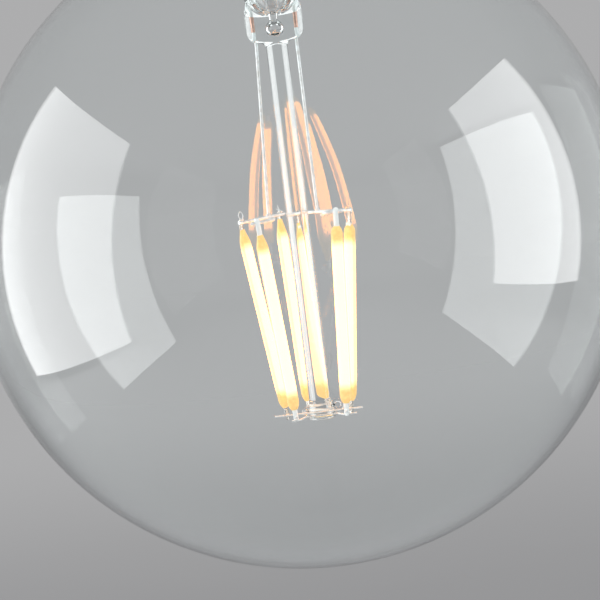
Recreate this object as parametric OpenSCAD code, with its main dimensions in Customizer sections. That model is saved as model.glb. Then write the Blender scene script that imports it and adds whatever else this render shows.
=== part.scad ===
// Clear globe lamp with six upright light strips, hung from a screw cap
// Origin at the tip of the centre contact, +Z towards the lampholder

/* [Globe] */
// Outside diameter of the globe
globe_d = 125; // [104:1:150]
// Thickness of the blown glass
globe_wall = 0.9; // [0.6:0.1:1.2]
// Outside diameter of the neck below the cap
neck_d = 26.8; // [26.6:0.1:30]
// Height of neck between the cap's rim and the top of the round globe
neck_drop = 26; // [20:1:40]
// Radius of the sweep from the neck into the globe
neck_sweep = 24; // [16:1:28]

/* [Cap] */
// Height of the cap, from the centre contact to its rim
cap_h = 27; // [24:0.5:33]
// Diameter over the thread's crests
thread_crest_d = 26.3; // [26.1:0.05:26.45]
// Diameter at the thread's roots
thread_root_d = 24.1; // [23.9:0.05:24.3]
// Height of the plain skirt below the thread
skirt_h = 5.5; // [4:0.5:7]
// Thickness of the cap's sheet
cap_sheet = 0.3; // [0.2:0.05:0.4]
// Height of the black insulator, from the contact to the sheet
insulator_h = 4.8; // [4:0.1:6]
// Diameter of the centre contact's head
contact_d = 9.2; // [8:0.1:10]
// Diameter of the centre contact's shank
shank_d = 1.9; // [1.4:0.1:2.4]

/* [Stem] */
// Length from the neck's sealed rim to the lower edge of the press
stem_l = 61.7; // [51:0.1:75]
// Outside diameter of the stem tube
stem_tube_d = 10; // [9:0.1:10.5]
// Wall of the stem tube
stem_tube_wall = 1; // [0.8:0.1:1.3]
// Width of the flat press
press_w = 10.9; // [10.5:0.1:13]
// Thickness of the flat press
press_t = 5.2; // [4.6:0.1:6]
// Height of the flat press
press_h = 8; // [7:0.5:10]
// Outside diameter of the exhaust tube
exhaust_d = 4; // [3.4:0.1:4.4]
// Outside diameter of the glass post
post_d = 4.1; // [3.4:0.1:4.4]
// Bore of the glass post
post_bore = 1.2; // [0.8:0.1:1.6]
// Widest diameter of the glass button on the post's foot
button_d = 5.4; // [5:0.1:6.5]

/* [Wires] */
// Diameter of the two leads below the press
lead_d = 0.6; // [0.5:0.05:0.8]
// Length of the leads from the press to the crown
lead_l = 33; // [27:0.5:40]
// Distance between the leads at the press
lead_pitch = 7.6; // [6.6:0.1:8.2]
// Diameter of the cross wires and their arms
bus_d = 0.65; // [0.5:0.05:0.8]
// Diameter of the wires that join the strips at their feet
series_d = 0.4; // [0.3:0.05:0.5]

/* [Light strips] */
// Length of the phosphor coat
coat_l = 34.4; // [28.7:0.1:41.3]
// Width of the phosphor coat
coat_w = 2.25; // [1.9:0.05:2.35]
// Thickness of the phosphor coat
coat_t = 1.8; // [1.5:0.05:1.9]
// Width of the end tabs
tab_w = 0.95; // [0.8:0.05:1.1]
// Thickness of the end tabs
tab_t = 0.25; // [0.2:0.01:0.3]
// Bare length of the upper tab, from the coat to the wire it hooks
upper_tab_l = 1.9; // [1.5:0.1:2.4]
// Bare length of the lower tab
lower_tab_l = 2.4; // [2:0.1:3]

/* [Driver] */
// Diameter of the circuit board
board_d = 21; // [18:0.5:22]
// Thickness of the circuit board
board_t = 1; // [0.8:0.1:1.6]
// Diameter of the smoothing capacitor
capacitor_d = 6.3; // [5:0.1:6.5]
// Length of the smoothing capacitor
capacitor_l = 8.5; // [7:0.5:9]

/* [Fits] */
// Clearance between pieces that touch all round
seat_gap = 0.05; // [0.02:0.01:0.1]

/* [Hidden] */
$fn = 72;
wire_fn = 24;
wire_sides = 16;
// Radius of a wire's bends, as a multiple of its diameter, and the steps it is drawn in
bend_ratio = 1.5;
bend_steps = 5;
eps = 0.01;

// Heights of the glass
globe_r = globe_d / 2;
globe_z = -(cap_h + neck_drop + globe_r);
neck_r = neck_d / 2;
sweep_z = globe_z + sqrt(pow(globe_r + neck_sweep, 2) - pow(neck_r + neck_sweep, 2));
// The neck steps in at the cap's rim, to pass inside the thread's roots
neck_play = 0.35;
cap_neck_r = thread_root_d / 2 - cap_sheet - neck_play;
seal_z = -17;
rim_t = 1;
// Open gap between the mouth of the flare and the wall of the neck
mouth_gap = 1;
mouth_r = cap_neck_r - globe_wall - mouth_gap;

// Heights of the stem
press_z = seal_z - stem_l;
press_top = press_z + press_h;
stem_r = stem_tube_d / 2;
stem_bore_r = stem_r - stem_tube_wall;
flare_sweep = 14;
cavity_z = press_z + 4.8;
hole_z = press_z + 2.6;
hole_r = 1.6;
hole_neck_r = 0.8;
hole_mouth_r = 0.6;
// The round part of the press, where the stem tube goes over into it
collar_h = 2.5;
seal_from = press_z + 2.2;
seal_to = press_z + 5.2;
exhaust_tip = seal_z - 9;

// Heights of the crown
bus_z = press_z - lead_l;
strip_drop = upper_tab_l + coat_l + lower_tab_l - 0.9;
series_z = bus_z - strip_drop + 0.3;
button_top = series_z + 2.2;
button_h = 3.5;

// Where the upper hooks sit on the wires: x and y, then the height above the cross wires
hook_1 = [-10.5, 0.3, 0];
hook_2 = [-7.7, -5.4, 0.1];
hook_3 = [-3.1, 8.9, 0];
hook_4 = [-0.2, 7.6, 0];
hook_5 = [7.2, -4.6, 0.3];
hook_6 = [9.5, -0.8, 0];
HOOKS = [for (h = [hook_1, hook_2, hook_3, hook_4, hook_5, hook_6]) h + [0, 0, bus_z]];

// Where the lower tabs end up, x and y at the height of the series wires
FEET = [for (f = [[-6.5, 0.4], [-4.9, -3.6], [-2.3, 5.9], [-1, 3.7], [4.7, -4], [5.7, -0.6]])
  [f.x, f.y, series_z]];

// Each end of a front arm: on its cross wire, at its bend and at its free end
arm_left = [[-4.8, 6.2, -bus_d], [-4.5, -4.6, 0.3], [-8.5, -5.6, 0]];
arm_right = [[4.7, 2.7, -bus_d], [4.9, -4.3, 0.3], [8.1, -4.72, 0.3]];

// The wire that each hook sits on, as its direction seen from above
WIRE_DIRS = [hook_1 - hook_3, arm_left[2] - arm_left[1], hook_1 - hook_3,
  hook_6 - hook_4, arm_right[2] - arm_right[1], hook_6 - hook_4];
// A hook's tab stands on the outer side of its wire
OUTWARD = [for (i = [0:5]) let (n = unit([-WIRE_DIRS[i].y, WIRE_DIRS[i].x, 0]))
  (n * [HOOKS[i].x, HOOKS[i].y, 0] > 0) ? n : -n];

hook_r = bus_d / 2 + seat_gap;
TOPS = [for (i = [0:5]) HOOKS[i] + OUTWARD[i] * (hook_r + tab_t / 2)];

function unit(v) = v / norm(v);

// A point part of the way from a to b
function along(a, b, t) = a + (b - a) * t;

// A point past b, on the line from a
function past(a, b, l) = b + unit(b - a) * l;

// Straight round rod between two points
module rod(a, b, d) {
  v = b - a;
  translate(a)
    rotate([0, acos(v.z / norm(v)), atan2(v.y, v.x)])
      cylinder(d = d, h = norm(v), $fn = wire_fn);
}

// Puts its children at a point, turned to three directions square to each other
module placed(at, ex, ey, ez)
  multmatrix([
    [ex.x, ey.x, ez.x, at.x],
    [ex.y, ey.y, ez.y, at.y],
    [ex.z, ey.z, ez.z, at.z],
    [0, 0, 0, 1]
  ]) children();

// How far a wire turns at its point i, and where its bend there starts
function turn(p, i) = acos(min(1, unit(p[i] - p[i - 1]) * unit(p[i + 1] - p[i])));
function bend_start(p, i, r) = p[i] - unit(p[i] - p[i - 1]) * r * tan(turn(p, i) / 2);

// The bend at point i, as an arc
function bend(p, i, r) =
  let (ey = unit(p[i] - p[i - 1]), ez = unit(cross(ey, p[i + 1] - p[i])), ex = cross(ey, ez))
  [for (k = [0:bend_steps]) let (a = turn(p, i) * k / bend_steps)
    bend_start(p, i, r) + r * ((cos(a) - 1) * ex + sin(a) * ey)];

// A wire's middle line, with its bends
function middle_line(p, r) = concat(
  [p[0]],
  [for (i = [1:len(p) - 2]) each turn(p, i) > 1 ? bend(p, i, r) : [p[i]]],
  [p[len(p) - 1]]
);

function tangent(c, i) = unit(c[min(i + 1, len(c) - 1)] - c[max(i - 1, 0)]);
function square_to(v, t) = unit(v - (v * t) * t);

// One normal for each point of the line, carried along it without a twist
function normals(c, i = 0, made = []) = i == len(c) ? made :
  let (t = tangent(c, i), start = abs(t.z) < 0.9 ? [0, 0, 1] : [1, 0, 0])
  normals(c, i + 1, concat(made, [square_to(i == 0 ? start : made[i - 1], t)]));

// Round wire along a list of points, bent to one radius at each point between its ends
module wire(points, d) {
  c = middle_line(points, bend_ratio * d);
  n = normals(c);
  last = len(c) - 1;
  rings = [for (i = [0:last], j = [0:wire_sides - 1]) let (a = 360 * j / wire_sides)
    c[i] + d / 2 * (cos(a) * n[i] + sin(a) * cross(tangent(c, i), n[i]))];
  sides = [for (i = [0:last - 1], j = [0:wire_sides - 1])
    let (q = i * wire_sides, k = (j + 1) % wire_sides)
    each [[q + j, q + wire_sides + j, q + k], [q + k, q + wire_sides + j, q + wire_sides + k]]];
  foot = [for (j = [0:wire_sides - 1]) j];
  head = [for (j = [wire_sides - 1:-1:0]) last * wire_sides + j];
  polyhedron(rings, concat(sides, [foot, head]), convexity = 6);
}

// Round pin that goes along, then turns down through the board
module bent_pin(points, d) {
  elbow_swell = 1.06;
  for (i = [1:len(points) - 1]) rod(points[i - 1], points[i], d);
  for (i = [1:len(points) - 2]) translate(points[i]) sphere(d = d * elbow_swell, $fn = wire_fn);
}

// Frame of one light strip: Z up along it, X to its outer face, origin level with its hook
module strip_frame(i) {
  ez = unit(TOPS[i] - FEET[i]);
  ex = unit(OUTWARD[i] - (OUTWARD[i] * ez) * ez);
  placed(TOPS[i], ex, cross(ez, ex), ez) children();
}

// Glass

// The blown form, drawn in by the wall for its hollow
module globe_form(inset) {
  shoulder_r = 2;
  shoulder_z = -cap_h - shoulder_r;
  translate([0, 0, globe_z]) sphere(globe_r - inset);
  // Sweep into the neck, from the globe's centre out to the centre of the sweep
  rotate_extrude() difference() {
    polygon([[0, globe_z], [0, sweep_z], [neck_r + neck_sweep, sweep_z]]);
    translate([neck_r + neck_sweep, sweep_z]) circle(neck_sweep + inset);
  }
  translate([0, 0, sweep_z - 1]) cylinder(r = neck_r - inset, h = shoulder_z - sweep_z + 1);
  // Round shoulder at the cap's rim
  translate([0, 0, shoulder_z - eps]) rotate_extrude() intersection() {
    union() {
      translate([neck_r - shoulder_r, eps]) circle(shoulder_r - inset);
      square([neck_r - shoulder_r, shoulder_r - inset + eps]);
    }
    square([neck_r, shoulder_r + eps]);
  }
  translate([0, 0, shoulder_z]) cylinder(r = cap_neck_r - inset, h = seal_z - shoulder_z);
}

module globe() color([0.85, 0.9, 0.92, 0.25]) difference() {
  globe_form(0);
  globe_form(globe_wall);
  // The neck is open at the top, where the stem's rim closes it
  translate([0, 0, seal_z - 1]) cylinder(r = cap_neck_r - globe_wall, h = 2);
}

module stem_flare() color([0.85, 0.9, 0.92, 0.35])
  rotate_extrude() difference() {
    flare_shape(0);
    flare_shape(stem_tube_wall);
    translate([0, press_top - 1]) square([stem_bore_r, 2]);
    translate([0, seal_z]) square([mouth_r - stem_tube_wall, 2 * rim_t]);
  }

// Outline of the flare and its tube, drawn in by the wall
module flare_shape(inset) {
  bell_rise = sqrt(pow(flare_sweep, 2) - pow(flare_sweep + stem_r - mouth_r, 2));
  bell_z = seal_z - bell_rise;
  translate([0, press_top]) square([stem_r - inset, bell_z - press_top + eps]);
  difference() {
    translate([0, bell_z]) square([mouth_r - inset, bell_rise + rim_t]);
    translate([stem_r + flare_sweep, bell_z]) circle(flare_sweep + inset);
  }
  if (inset == 0) translate([0, seal_z]) square([cap_neck_r, rim_t]);
}

module stem_press() color([0.85, 0.9, 0.92, 0.45])
  difference() {
    union() {
      press_block();
      translate([0, 0, press_top - collar_h]) cylinder(r = stem_r, h = collar_h);
    }
    // The stem tube's bore ends in a round floor
    translate([0, 0, cavity_z + stem_bore_r]) sphere(stem_bore_r);
    translate([0, 0, cavity_z + stem_bore_r]) cylinder(r = stem_bore_r, h = press_h);
    // The hole blown through the press, for pumping the globe
    translate([0, 0, hole_z]) sphere(hole_r);
    translate([0, 0, hole_z]) rotate([90, 0, 0]) cylinder(r = hole_mouth_r, h = press_t);
    translate([0, 0, hole_z]) cylinder(r = hole_neck_r, h = press_h);
    for (s = [-1, 1]) {
      rod([s * lead_pitch / 2, 0, press_z - 1], [s * lead_pitch / 2, 0, seal_to], lead_d + 2 * seat_gap);
      rod(outer_lead_path(s)[0], outer_lead_path(s)[1], outer_lead_d + 2 * seat_gap);
    }
  }

// Flat block with round lower corners
module press_block() {
  corner = 2.6;
  half = press_w / 2;
  translate([0, press_t / 2, 0]) rotate([90, 0, 0]) linear_extrude(press_t) union() {
    translate([-half, press_z + corner]) square([press_w, press_h - corner]);
    translate([-half + corner, press_z]) square([press_w - 2 * corner, corner + 1]);
    for (s = [-1, 1]) translate([s * (half - corner), press_z + corner]) circle(corner);
  }
}

module exhaust_tube() color([0.85, 0.9, 0.92, 0.4]) {
  wall = 0.9;
  r = exhaust_d / 2;
  // It stands on the round floor of the stem tube's bore
  foot = cavity_z + stem_bore_r - sqrt(stem_bore_r * stem_bore_r - r * r) + seat_gap;
  rotate_extrude() difference() {
    union() {
      translate([0, foot]) square([r, exhaust_tip - r - foot]);
      intersection() {
        translate([0, exhaust_tip - r]) circle(r);
        translate([0, exhaust_tip - r]) square([r, r]);
      }
    }
    translate([0, foot - 1]) square([r - wall, exhaust_tip - r - foot]);
  }
}

module support_tube() color([0.85, 0.9, 0.92, 0.4])
  translate([0, 0, button_top]) difference() {
    cylinder(d = post_d, h = press_z - button_top);
    translate([0, 0, -eps]) cylinder(d = post_bore, h = press_z - button_top - 1.5, $fn = wire_fn);
  }

module glass_button() color([0.85, 0.9, 0.92, 0.45])
  difference() {
    union() {
      rotate_extrude() button_outline();
      button_loop(x = button_d / 2 + 0.75, ring_r = 1.3, bead_r = 0.5, up = 0.75);
      button_loop(x = -button_d / 2 - 0.35, ring_r = 0.7, bead_r = 0.4, up = -0.1);
    }
    // The post's bore widens into a bubble
    translate([0, 0, button_top - 0.7]) sphere(1);
    for (w = SEALED) rod(w[0], w[1], series_d + 2 * seat_gap);
  }

module button_outline() {
  r = button_d / 2;
  edge = 0.7;
  belt = 1.4;
  z0 = button_top - button_h;
  translate([0, z0]) square([r - edge, button_h]);
  translate([0, z0 + edge]) square([r, belt]);
  intersection() {
    translate([r - edge, z0 + edge]) circle(edge, $fn = 32);
    translate([0, z0]) square([r, edge]);
  }
  intersection() {
    translate([r - edge, z0 + edge + belt]) circle(edge, $fn = 32);
    translate([0, z0 + edge + belt]) square([r, edge]);
  }
}

// Bead of glass drawn into a loop beside the button
module button_loop(x, ring_r, bead_r, up) {
  translate([x, 0, series_z + up]) rotate([90, 0, 0])
    rotate_extrude() translate([ring_r, 0]) circle(bead_r, $fn = 20);
}

// Lead wires

module seal_wire(side) color("peru")
  rod([side * lead_pitch / 2, 0, seal_from], [side * lead_pitch / 2, 0, seal_to], lead_d);
module seal_wire_left() seal_wire(-1);
module seal_wire_right() seal_wire(1);

// Each lead leans back from the press to the cross wire it is welded under
lead_foot_left = along(hook_3, hook_1, 0.32) + [0, 0, bus_z + bus_d / 2 + 0.1];
lead_foot_right = along(hook_4, hook_6, 0.42) + [0, 0, bus_z + bus_d / 2 + 0.1];

module inner_lead(side, foot) color("silver")
  wire([
    [side * lead_pitch / 2, 0, seal_from],
    [side * lead_pitch / 2, 0, press_z - 0.6],
    foot
  ], lead_d);
module inner_lead_left() inner_lead(-1, lead_foot_left);
module inner_lead_right() inner_lead(1, lead_foot_right);

board_z = seal_z + rim_t + 0.5;
sleeve_l = 9;
sleeve_t = 0.3;
outer_lead_d = 0.5;

// It leans in from its seal wire, to clear the stem tube's wall
outer_lead_x = 3.2;
function outer_lead_path(side) = [
  [side * lead_pitch / 2, 0, seal_to + seat_gap],
  [side * outer_lead_x, 0, press_top + 2.5],
  [side * outer_lead_x, 0, board_z + board_t + 0.6]
];
module outer_lead(side) color("silver") wire(outer_lead_path(side), outer_lead_d);
module outer_lead_left() outer_lead(-1);
module outer_lead_right() outer_lead(1);

module sleeve(side) color("white") {
  bore = outer_lead_d + 2 * seat_gap;
  translate([side * outer_lead_x, 0, board_z - 0.5 - sleeve_l]) difference() {
    cylinder(d = bore + 2 * sleeve_t, h = sleeve_l, $fn = wire_fn);
    translate([0, 0, -eps]) cylinder(d = bore, h = sleeve_l + 2 * eps, $fn = wire_fn);
  }
}
module sleeve_left() sleeve(-1);
module sleeve_right() sleeve(1);

// Crown of light strips

wire_end = 0.9;
module bus_wire_left() color("silver")
  rod(past(HOOKS[0], HOOKS[2], wire_end), past(HOOKS[2], HOOKS[0], wire_end), bus_d);
module bus_wire_right() color("silver")
  rod(past(HOOKS[5], HOOKS[3], wire_end), past(HOOKS[3], HOOKS[5], wire_end), bus_d);

function raised(points) = [for (p = points) p + [0, 0, bus_z]];
module front_arm_left() color("silver") wire(raised(arm_left), bus_d);
module front_arm_right() color("silver") wire(raised(arm_right), bus_d);

shoulder = 1.6;
tab_in = 1.4;
tab_corner = 0.4;
hook_turn = 120;
strip_w = 1.1;
strip_t = 0.35;
strip_in = 0.5;

// Flat oval bar, drawn in to the tab at both ends
module coat_form() {
  neck = 0.72;
  full = coat_w / 2 + 0.1;
  steps = 4;
  upper = [for (i = [0:steps]) [neck + (full - neck) * sin(90 * i / steps), -shoulder * i / steps]];
  lower = [for (i = [steps:-1:0]) [upper[i].x, -coat_l - upper[i].y]];
  side = coat_w / 2 - coat_t / 2;
  intersection() {
    translate([0, 0, -coat_l]) linear_extrude(coat_l) union() {
      square([coat_t, 2 * side], center = true);
      for (s = [-1, 1]) translate([0, s * side]) circle(d = coat_t, $fn = 32);
    }
    rotate_extrude($fn = 32) polygon(concat([[0, 0]], upper, lower, [[0, -coat_l]]));
  }
}

module tab_plate(z, l, grow)
  translate([-tab_t / 2 - grow, -tab_w / 2 - grow, z])
    cube([tab_t + 2 * grow, tab_w + 2 * grow, l]);

// The strip lies on the inner side of its two tabs
module strip_plate(grow)
  translate([-tab_t / 2 - strip_t - grow, -strip_w / 2 - grow, -upper_tab_l - coat_l + strip_in])
    cube([strip_t + 2 * grow, strip_w + 2 * grow, coat_l - 2 * strip_in]);

module filament_coat(i) color("orange") strip_frame(i) difference() {
  translate([0, 0, -upper_tab_l]) coat_form();
  strip_plate(seat_gap);
  tab_plate(-upper_tab_l - tab_in, tab_in + 1, seat_gap);
  tab_plate(-upper_tab_l - coat_l - 1, tab_in + 1, seat_gap);
}

module filament_strip(i) color("gainsboro") strip_frame(i) strip_plate(0);

module filament_tabs(i) color("lightgray") strip_frame(i) {
  tab_plate(-upper_tab_l - tab_in, upper_tab_l + tab_in, 0);
  // The hook over the wire
  translate([-hook_r - tab_t / 2, 0, 0]) rotate([90, 0, 0]) rotate_extrude(angle = hook_turn)
    translate([hook_r, -tab_w / 2]) square([tab_t, tab_w]);
  // The lower tab has its corners cut
  full_l = lower_tab_l + tab_in;
  translate([tab_t / 2, 0, -upper_tab_l - coat_l - lower_tab_l]) rotate([0, -90, 0])
    linear_extrude(tab_t) polygon([
      [0, -tab_w / 3], [tab_corner, -tab_w / 2], [full_l, -tab_w / 2],
      [full_l, tab_w / 2], [tab_corner, tab_w / 2], [0, tab_w / 3]
    ]);
}

module filament_coat_1() filament_coat(0);
module filament_coat_2() filament_coat(1);
module filament_coat_3() filament_coat(2);
module filament_coat_4() filament_coat(3);
module filament_coat_5() filament_coat(4);
module filament_coat_6() filament_coat(5);
module filament_strip_1() filament_strip(0);
module filament_strip_2() filament_strip(1);
module filament_strip_3() filament_strip(2);
module filament_strip_4() filament_strip(3);
module filament_strip_5() filament_strip(4);
module filament_strip_6() filament_strip(5);
module filament_tabs_1() filament_tabs(0);
module filament_tabs_2() filament_tabs(1);
module filament_tabs_3() filament_tabs(2);
module filament_tabs_4() filament_tabs(3);
module filament_tabs_5() filament_tabs(4);
module filament_tabs_6() filament_tabs(5);

// A series wire passes a foot on the side given, clear of the turned tab
function beside(i, dir, side) =
  let (across = unit([-dir.y, dir.x, 0]),
    turned = abs(OUTWARD[i] * across),
    half = tab_t / 2 * turned + tab_w / 2 * sqrt(1 - min(1, turned * turned)))
  FEET[i] + side * across * (half + series_d / 2 + 2 * seat_gap);

// The two ends of each wire's straight run through the button, with what it stands out past its foot
low = [0, 0, -0.6];
foot_1 = beside(0, [1, 0], -1);
foot_6 = beside(5, [1, 0], -1);
foot_3 = beside(2, FEET[2] - FEET[3], -1);
foot_4 = beside(3, FEET[2] - FEET[3], -1);
front_run = [button_d / 2 + 0.4, 0, 0];
front_mid = [0, -1.3, series_z] + low;
SEALED = [
  [past(foot_6, foot_1, 2.4), past(foot_1, foot_6, 2.2)],
  [front_mid - front_run, front_mid + front_run],
  [past(foot_4, foot_3, 0.9), past(foot_3, foot_4, 2.6)]
];

module series_wire_1() color("silver") wire(SEALED[0], series_d);
module series_wire_2() color("silver") wire([
  beside(1, [1, 0], -1) + low - [0.9, 0, 0], beside(1, [1, 0], -1) + low + [0.6, 0, 0],
  SEALED[1][0], SEALED[1][1],
  beside(4, [1, 0], 1) + low - [0.6, 0, 0], beside(4, [1, 0], 1) + low + [1.9, 0, 0]
], series_d);
module series_wire_3() color("silver") wire(SEALED[2], series_d);

// Cap

crest_r = thread_crest_d / 2;
skirt_r = crest_r + 0.15;
lip_r = 10.4;
lip_z = -insulator_h;
// Small bevel where the insulator's cone meets the lip
lip_ease = 0.5;
// Radius of the insulator's face round the contact
face_r = 6.3;
head_t = 1;
// The neutral wire comes out through a notch at the lip
exit_r = 10.3;
exit_angle = 250;
exit_point = exit_r * [cos(exit_angle), sin(exit_angle), 0];
cord_d = 0.8;

module exit_notch() translate(exit_point + [0, 0, lip_z - 4])
  cylinder(d = cord_d + 2 * seat_gap, h = 6, $fn = wire_fn);

// The thread's barrel is drawn at its crests
module shell_outline(inset) {
  round_r = 1.6;
  low_z = -cap_h - (inset > 0 ? 1 : 0);
  translate([0, low_z]) square([skirt_r - inset, skirt_h - inset - cap_h - low_z]);
  translate([0, low_z]) square([crest_r - inset, lip_z - round_r - low_z]);
  translate([0, lip_z - round_r]) square([crest_r - round_r, round_r - inset]);
  intersection() {
    translate([crest_r - round_r, lip_z - round_r]) circle(round_r - inset, $fn = 48);
    translate([0, lip_z - round_r]) square([crest_r, round_r]);
  }
}

module cap_shell() color("silver") difference() {
  rotate_extrude() difference() {
    shell_outline(0);
    shell_outline(cap_sheet);
    // The insulator comes through the lip
    translate([0, lip_z - 1]) square([lip_r, 2]);
  }
  exit_notch();
}

module cap_insulator() color([0.08, 0.08, 0.09]) difference() {
  cone_r = lip_r - seat_gap;
  flange_r = crest_r - cap_sheet - 1.4;
  flange_z = lip_z - cap_sheet - seat_gap;
  foot_z = lip_z - 2;
  boss_r = 2.6;
  rotate_extrude() difference() {
    polygon([
      [0, -head_t], [face_r - 0.7, -head_t], [face_r, -head_t - 0.5],
      [cone_r - lip_ease, lip_z + lip_ease], [cone_r, lip_z], [cone_r, flange_z],
      [flange_r, flange_z], [flange_r, foot_z], [0, foot_z]
    ]);
    // Hollow underneath, round a boss for the contact's shank
    polygon([
      [boss_r, foot_z - 1], [boss_r, lip_z + 0.6], [4.8, lip_z + 1.6], [6.2, lip_z + 1.2],
      [9.2, lip_z - 1], [9.2, foot_z - 1]
    ]);
    translate([0, foot_z - 1]) square([shank_d / 2 + seat_gap, insulator_h + 3]);
  }
  exit_notch();
}

shank_foot = lip_z - 3.4;
module centre_contact() color("silver") rotate_extrude() {
  edge = 0.4;
  r = contact_d / 2;
  polygon([
    [0, 0], [r - edge, 0], [r - edge / 4, -edge / 4], [r, -edge], [r, -head_t],
    [shank_d / 2, -head_t], [shank_d / 2, shank_foot], [0, shank_foot]
  ]);
}

module cap_cement() color([0.86, 0.84, 0.78]) rotate_extrude() difference() {
  depth = skirt_h - cap_sheet - 0.6;
  translate([0, -cap_h + 0.4]) square([skirt_r - cap_sheet - seat_gap, depth]);
  translate([0, -cap_h]) square([cap_neck_r + seat_gap, skirt_h]);
}

// Flattened bead over the neutral wire's end and the lip
module side_solder() color("lightgray") difference() {
  bead_r = 0.85;
  translate(exit_point + [0, 0, lip_z]) sphere(bead_r, $fn = 32);
  translate([0, 0, lip_z - 2 * bead_r + seat_gap / 2]) cylinder(r = crest_r, h = 2 * bead_r);
  rotate_extrude() polygon([
    [0, 0], [0, lip_z - 1], [lip_r, lip_z - 1], [lip_r, lip_z],
    [lip_r - lip_ease, lip_z + lip_ease + seat_gap], [face_r, 0]
  ]);
}

// Driver

top_z = board_z + board_t;
pin_d = 0.6;
capacitor_y = 4.2;
capacitor_pitch = 2.5;
capacitor_end = 1;
fuse_x = 6.2;
fuse_y = -3.7;
fuse_reach = 3.5;

// Where each wired part's pins pass through the board
PINS = [
  [capacitor_l / 2 + capacitor_end, capacitor_y - capacitor_pitch / 2],
  [capacitor_l / 2 + capacitor_end, capacitor_y + capacitor_pitch / 2],
  [fuse_x, fuse_y - fuse_reach],
  [fuse_x, fuse_y + fuse_reach]
];

module driver_board() color("darkgreen") translate([0, 0, board_z]) difference() {
  cylinder(d = board_d, h = board_t);
  for (s = [-1, 1]) translate([s * outer_lead_x, 0, -eps])
    cylinder(d = outer_lead_d + 2 * seat_gap, h = board_t + 2 * eps, $fn = wire_fn);
  for (p = PINS) translate([p.x, p.y, -eps])
    cylinder(d = pin_d + 2 * seat_gap, h = board_t + 2 * eps, $fn = wire_fn);
}

// Moulded part with a row of feet on each side, standing on the board
module chip(place, size, feet) {
  foot_pitch = 1.27;
  foot = [0.6, 0.4, 0.5];
  translate([place.x - size.x / 2, place.y - size.y / 2, top_z + 0.15]) cube(size);
  for (s = [-1, 1], k = [0:feet - 1])
    translate([place.x + s * (size.x / 2 + 0.25) - foot.x / 2,
        place.y + (k - (feet - 1) / 2) * foot_pitch - foot.y / 2, top_z])
      cube(foot);
}

module bridge_rectifier() color([0.1, 0.1, 0.1]) chip([0.6, -6.6], [3.6, 4.6, 2.2], 2);
module driver_chip() color([0.12, 0.12, 0.12]) chip([-6, -2.9], [3.8, 4.8, 1.4], 4);

module fuse_resistor() color("tan") {
  body_d = 2.3;
  body_l = 5;
  z = top_z + body_d / 2 + 0.15;
  translate([fuse_x, fuse_y + body_l / 2, z]) rotate([90, 0, 0])
    cylinder(d = body_d, h = body_l, $fn = 32);
  bent_pin([[fuse_x, fuse_y - fuse_reach, board_z - 0.3], [fuse_x, fuse_y - fuse_reach, z],
    [fuse_x, fuse_y + fuse_reach, z], [fuse_x, fuse_y + fuse_reach, board_z - 0.3]], pin_d);
}

module chip_parts() color("dimgray")
  for (p = [[-6.6, 4.5], [6.9, 5.3], [8.2, 1.6]])
    translate([p.x - 0.6, p.y - 1, top_z]) cube([1.2, 2, 0.5]);

module smoothing_capacitor() color("slategray") {
  z = top_z + capacitor_d / 2 + 0.15;
  bead = 0.3;
  crimp = 1.4;
  r = capacitor_d / 2;
  translate([-capacitor_l / 2, capacitor_y, z]) rotate([0, 90, 0]) rotate_extrude() difference() {
    square([r, capacitor_l]);
    translate([r + bead / 3, capacitor_l - crimp]) circle(bead, $fn = 20);
  }
  for (p = [PINS[0], PINS[1]])
    bent_pin([[p.x - capacitor_end - 0.5, p.y, z], [p.x, p.y, z], [p.x, p.y, board_z - 0.3]], pin_d);
}

module live_wire() color("firebrick") {
  // It lies against the side of the contact's shank
  x = shank_d / 2 + cord_d / 2 + 0.25;
  wire([[x, -3, top_z], [x, -3, top_z + 2.5], [x, 0, shank_foot + 0.3]], cord_d);
}

module neutral_wire() color("royalblue") {
  start_r = 8.6;
  start = start_r * [cos(exit_angle), sin(exit_angle), 0];
  wire([start + [0, 0, top_z], start + [0, 0, top_z + 2], exit_point + [0, 0, top_z + 4.5],
    exit_point + [0, 0, lip_z]], cord_d);
}

globe();
stem_flare();
stem_press();
exhaust_tube();
support_tube();
glass_button();
seal_wire_left();
seal_wire_right();
inner_lead_left();
inner_lead_right();
outer_lead_left();
outer_lead_right();
sleeve_left();
sleeve_right();
bus_wire_left();
bus_wire_right();
front_arm_left();
front_arm_right();
filament_coat_1();
filament_coat_2();
filament_coat_3();
filament_coat_4();
filament_coat_5();
filament_coat_6();
filament_strip_1();
filament_strip_2();
filament_strip_3();
filament_strip_4();
filament_strip_5();
filament_strip_6();
filament_tabs_1();
filament_tabs_2();
filament_tabs_3();
filament_tabs_4();
filament_tabs_5();
filament_tabs_6();
series_wire_1();
series_wire_2();
series_wire_3();
cap_shell();
cap_insulator();
centre_contact();
cap_cement();
side_solder();
driver_board();
bridge_rectifier();
smoothing_capacitor();
driver_chip();
fuse_resistor();
chip_parts();
live_wire();
neutral_wire();
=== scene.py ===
from math import asin, atan2, cos, pi, radians, sin, sqrt

import bmesh
import bpy
from mathutils import Matrix, Vector


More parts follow.
